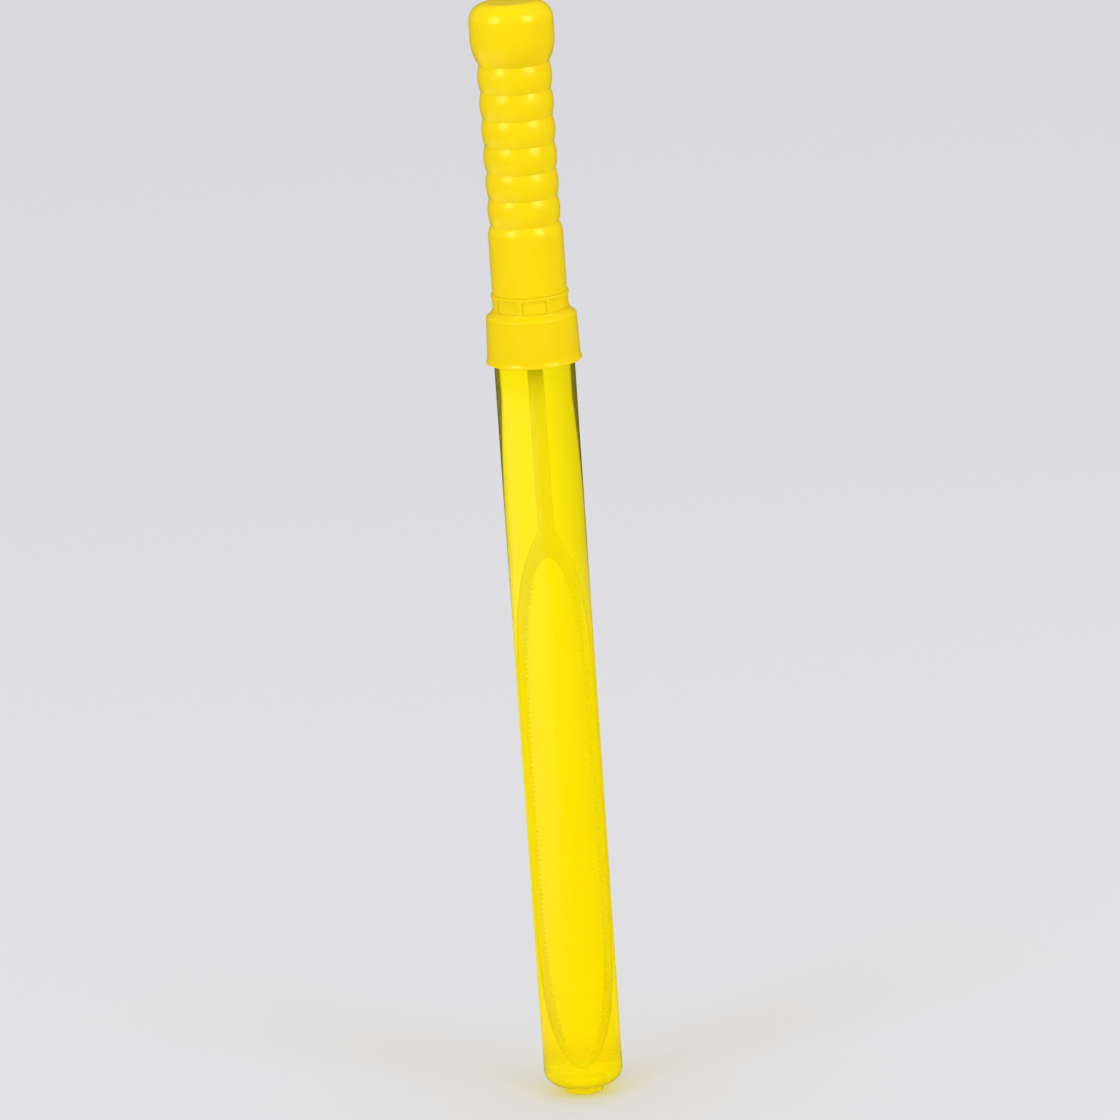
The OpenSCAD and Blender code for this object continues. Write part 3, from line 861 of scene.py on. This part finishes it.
def patch(*steps):
    """How far inside a patch a point is, from (value, (where it is 0, where it is 1)) steps."""
    inside = 1.0
    for value, (outer, inner) in steps:
        step = add_node(tree, "MapRange", {"Value": value, "From Min": outer, "From Max": inner},
                        interpolation_type="SMOOTHSTEP")
        inside = add_node(tree, "Math", {0: step.outputs["Result"], 1: inside},
                          operation="MULTIPLY").outputs["Value"]
    return inside


# Painted reflections: a lighter patch on the left, and a yellow one behind the toy.
to_left = patch((ground_place["X"], LEFT_X), (away, LEFT_AWAY), (ground_place["Y"], LEFT_Y))
behind = patch((away, BACK_AWAY), (ground_place["Y"], BACK_Y))
back_level = add_node(tree, "Math", {0: behind, 1: BACK_PATCH, 2: IN_GLOSS},
                      operation="MULTIPLY_ADD")
gloss_level = add_node(tree, "Math", {0: to_left, 1: LEFT_PATCH, 2: back_level.outputs["Value"]},
                       operation="MULTIPLY_ADD")
# The patch behind the toy is painted yellow, as a painted reflection.
painted_reflection_colour = add_node(tree, "Mix", {
    "Factor": behind, "A": hex_colour("#FFFEFB"), "B": hex_colour("#FFE832"),
}, data_type="RGBA")
mirrored = add_node(tree, "Emission", {
    "Color": painted_reflection_colour.outputs["Result"], "Strength": gloss_level.outputs["Value"],
})
print("patches mirrored at", LEFT_PATCH, "and", BACK_PATCH)

# %% Floor
FLOOR_SIZE, FLOOR_CELLS = 12.0, 8
matt_or_mirrored = add_node(tree, "MixShader", {
    "Fac": rays["Is Glossy Ray"], 1: lit_sheet.outputs["Shader"], 2: mirrored.outputs["Emission"],
})
seen = add_node(tree, "MixShader", {
    "Fac": rays["Is Transmission Ray"],
    1: matt_or_mirrored.outputs["Shader"], 2: glow.outputs["Emission"],
})
add_node(tree, "OutputMaterial", {"Surface": seen.outputs["Shader"]})

ground = bmesh.new()
bmesh.ops.create_grid(
    ground, x_segments=FLOOR_CELLS, y_segments=FLOOR_CELLS, size=FLOOR_SIZE / 2)
mesh = bpy.data.meshes.new("floor")
ground.to_mesh(mesh)
ground.free()
mesh.materials.append(paper)
floor = bpy.data.objects.new("floor", mesh)
bpy.context.scene.collection.objects.link(floor)
print("floor of", FLOOR_SIZE, "m a side")

# %% [markdown]
# ## Light
#
# Two tall softboxes stand in front, left and right, and draw the pair of soft highlights on every
# rib. The tent itself is the world, an even white that lights the toy from all round. In gloss it
# is nearly dark, as the room beyond the softboxes is, so that only they show as highlights. For
# the camera it has the grey of the far paper, so that no horizon shows.

# %% Softboxes
BOX_ANGLE, BOX_DISTANCE, BOX_MIDDLE = 49.0, 1.2, 1.02
BOX_WIDTH, BOX_HEIGHT, BOX_WATTS = 0.6, 1.1, 6.0
for name, side in (("left_softbox", -1), ("right_softbox", 1)):
    lamp = bpy.data.lights.new(name, "AREA")
    lamp.shape = "RECTANGLE"
    lamp.size, lamp.size_y, lamp.energy = BOX_WIDTH, BOX_HEIGHT, BOX_WATTS
    angle = radians(BOX_ANGLE) * side
    spot = Vector((sin(angle), -cos(angle), 0)) * BOX_DISTANCE
    box = bpy.data.objects.new(name, lamp)
    box.matrix_world = (Matrix.Translation(spot + Vector((0, 0, BOX_MIDDLE)))
                        @ spot.to_track_quat("Z", "Y").to_matrix().to_4x4())
    bpy.context.scene.collection.objects.link(box)
    print(name, "at", [round(c, 2) for c in box.matrix_world.translation])

# %% Light tent
TENT_LIGHT, ROOM_IN_GLOSS, TENT_SEEN = 0.95, 0.08, 0.69
world = bpy.data.worlds.new("light tent")
bpy.context.scene.world = world
world.use_nodes = True
world.node_tree.nodes.clear()
tree = world.node_tree
rays = add_node(tree, "LightPath").outputs
in_gloss = add_node(tree, "MapRange", {
    "Value": rays["Is Glossy Ray"], "To Min": TENT_LIGHT, "To Max": ROOM_IN_GLOSS,
})
strength = add_node(tree, "Mix", {
    "Factor": rays["Is Transmission Ray"], "A": in_gloss.outputs["Result"], "B": THROUGH_GLASS,
}, data_type="FLOAT")
shown = add_node(tree, "Mix", {
    "Factor": rays["Is Camera Ray"], "A": strength.outputs["Result"], "B": TENT_SEEN,
}, data_type="FLOAT")
tent = add_node(tree, "Background", {
    "Color": hex_colour("#FCFCFF"), "Strength": shown.outputs["Result"],
})
add_node(tree, "OutputWorld", {"Surface": tent.outputs["Background"]})
print("tent lights at", TENT_LIGHT)

# %% [markdown]
# ## Camera
#
# A long lens from two metres away, a little above the toy. The camera is rolled by about four
# degrees, which is why the toy leans to the left in the picture, and its aim is moved by a few
# millimetres, until the toy stands where it does in the photograph.

# %% Camera
LENS, SENSOR, DISTANCE, ELEVATION, ROLL = 195.43, 36, 2.0, 14.5, 3.93
AIM_HEIGHT, AIM_RIGHT, AIM_DOWN = 0.185, 3.947, 0.822
e, a = radians(ELEVATION), radians(ROLL)
level_right, level_up = Vector((1, 0, 0)), Vector((0, sin(e), cos(e)))
forward = Vector((0, cos(e), -sin(e)))
right = level_right * cos(a) - level_up * sin(a)
up = level_right * sin(a) + level_up * cos(a)
aim = Vector((0, 0, AIM_HEIGHT)) + right * AIM_RIGHT * mm - up * AIM_DOWN * mm
camera_data = bpy.data.cameras.new("camera")
camera_data.lens, camera_data.sensor_width = LENS, SENSOR
camera = bpy.data.objects.new("camera", camera_data)
turned = Matrix((right, up, -forward)).transposed().to_4x4()
camera.matrix_world = Matrix.Translation(aim - forward * DISTANCE) @ turned
bpy.context.scene.collection.objects.link(camera)
bpy.context.scene.camera = camera
bpy.context.scene.view_settings.view_transform = "Standard"
print("camera at", [round(c, 3) for c in camera.matrix_world.translation])
